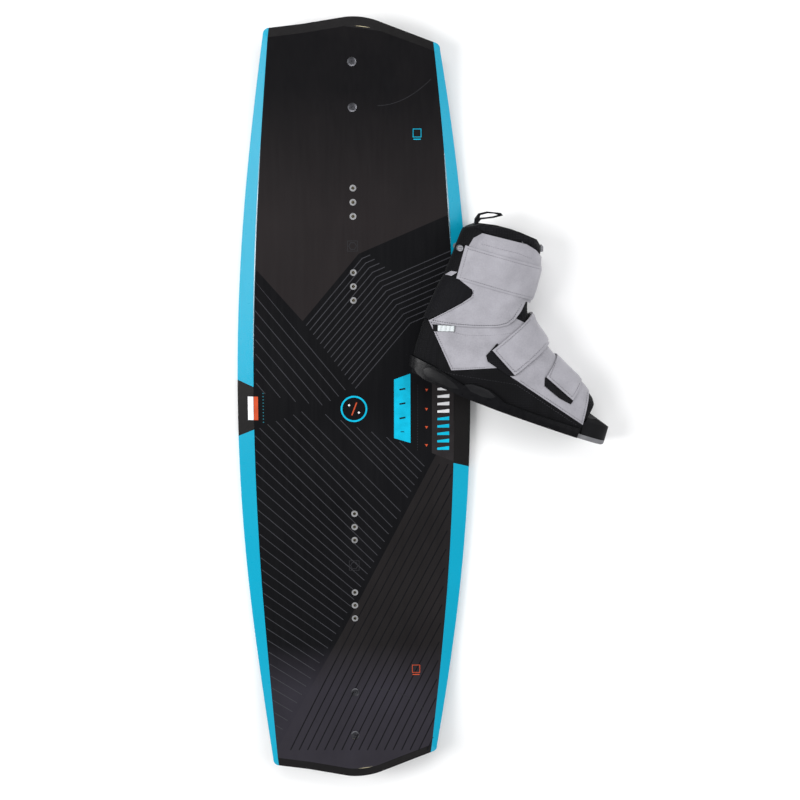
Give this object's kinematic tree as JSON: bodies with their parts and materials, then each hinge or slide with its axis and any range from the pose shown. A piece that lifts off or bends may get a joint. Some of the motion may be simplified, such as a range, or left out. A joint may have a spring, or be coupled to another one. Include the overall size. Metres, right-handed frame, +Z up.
{
  "type": "wakeboard",
  "caption": "Twin-tip wakeboard with rockered ends, bevelled rails, threaded binding inserts and low fins, with a loose open-toed strap boot lying on its side across the rail.",
  "frame": {"origin": "on the ground under the centre of the board's flat base", "axes": "+Y along the board to its nose, +X to the side where the boot lies, +Z up out of the deck"},
  "size_m": [0.6817, 1.4028, 0.1147],
  "materials": {
    "core": "raw",
    "deck": "satin print",
    "base": "gloss",
    "blue_rail": "gloss",
    "dark_rail": "satin",
    "tip": "satin",
    "insert": "brushed",
    "fin": "matte",
    "steel": "brushed",
    "washer": "anodised",
    "chassis": "semi-gloss",
    "foam_black": "matte",
    "foam_grey": "matte",
    "black_fabric": "matte",
    "grey_suede": "suede",
    "liner": "knit",
    "black_webbing": "woven",
    "grey_webbing": "woven",
    "tag": "woven",
    "rivet": "satin"
  },
  "bodies": {
    "board": {"foam_core": "core", "deck_sheet": "deck", "base_sheet": "base", "left_nose_rail": "blue_rail", "left_tail_rail": "blue_rail", "right_nose_rail": "blue_rail", "right_tail_rail": "blue_rail", "left_waist_block": "dark_rail", "right_waist_block": "dark_rail", "nose_cap": "tip", "tail_cap": "tip", "nose_inserts": "insert", "tail_inserts": "insert", "nose_fin": "fin", "tail_fin": "fin", "nose_fin_screws": "steel", "tail_fin_screws": "steel", "nose_fin_washers": "washer", "tail_fin_washers": "washer"},
    "boot": {"chassis": "chassis", "footbed": "foam_black", "toe_block": "foam_black", "toe_wedge": "foam_grey", "lower_shell": "black_fabric", "quarter_outer": "grey_suede", "quarter_inner": "grey_suede", "vamp": "grey_suede", "toe_band": "black_fabric", "liner_low": "liner", "liner_high": "liner", "tongue": "liner", "achilles_gusset": "black_fabric", "mid_strap_tab": "black_webbing", "toe_strap_tab": "black_webbing", "label_tag": "tag", "mid_strap_base": "grey_suede", "toe_strap_base": "grey_suede"},
    "cuff": {"cuff_shell": "grey_suede", "cuff_spine": "black_fabric", "collar": "liner", "cuff_rivets": "rivet", "front_tab": "grey_webbing", "upper_strap_base": "grey_suede"},
    "upper_strap": {"upper_strap_flap": "grey_suede"},
    "mid_strap": {"mid_strap_flap": "grey_suede"},
    "toe_strap": {"toe_strap_flap": "grey_suede"},
    "pull_loop": {"pull_loop": "black_webbing"}
  },
  "joints": [
    {"name": "boot_lift", "type": "slide", "parent": "board", "child": "boot", "axis": [0, 0, 1], "range_m": [0, 0.25]},
    {"name": "ankle_flex", "type": "hinge", "parent": "boot", "child": "cuff", "pos_m": [0.20225, 0.14133, 0.06481], "axis": [-0.08, -0.0037, -0.9968], "range_deg": [0, 6], "deforming": ["liner_low", "liner_high", "tongue", "achilles_gusset"]},
    {"name": "upper_strap_open", "type": "hinge", "parent": "cuff", "child": "upper_strap", "pos_m": [0.33282, 0.23237, 0.05399], "axis": [0.2419, 0.97, -0.023], "range_deg": [0, 90]},
    {"name": "mid_strap_open", "type": "hinge", "parent": "boot", "child": "mid_strap", "pos_m": [0.34315, 0.15692, 0.05344], "axis": [-0.4578, 0.8884, 0.0335], "range_deg": [0, 62]},
    {"name": "toe_strap_open", "type": "hinge", "parent": "boot", "child": "toe_strap", "pos_m": [0.40194, 0.07633, 0.04901], "axis": [-0.702, 0.7101, 0.0537], "range_deg": [0, 80]},
    {"name": "pull_loop_swing", "type": "hinge", "parent": "cuff", "child": "pull_loop", "pos_m": [0.21391, 0.32891, 0.06318], "axis": [-0.08, -0.0037, -0.9968], "range_deg": [0, 40]}
  ]
}
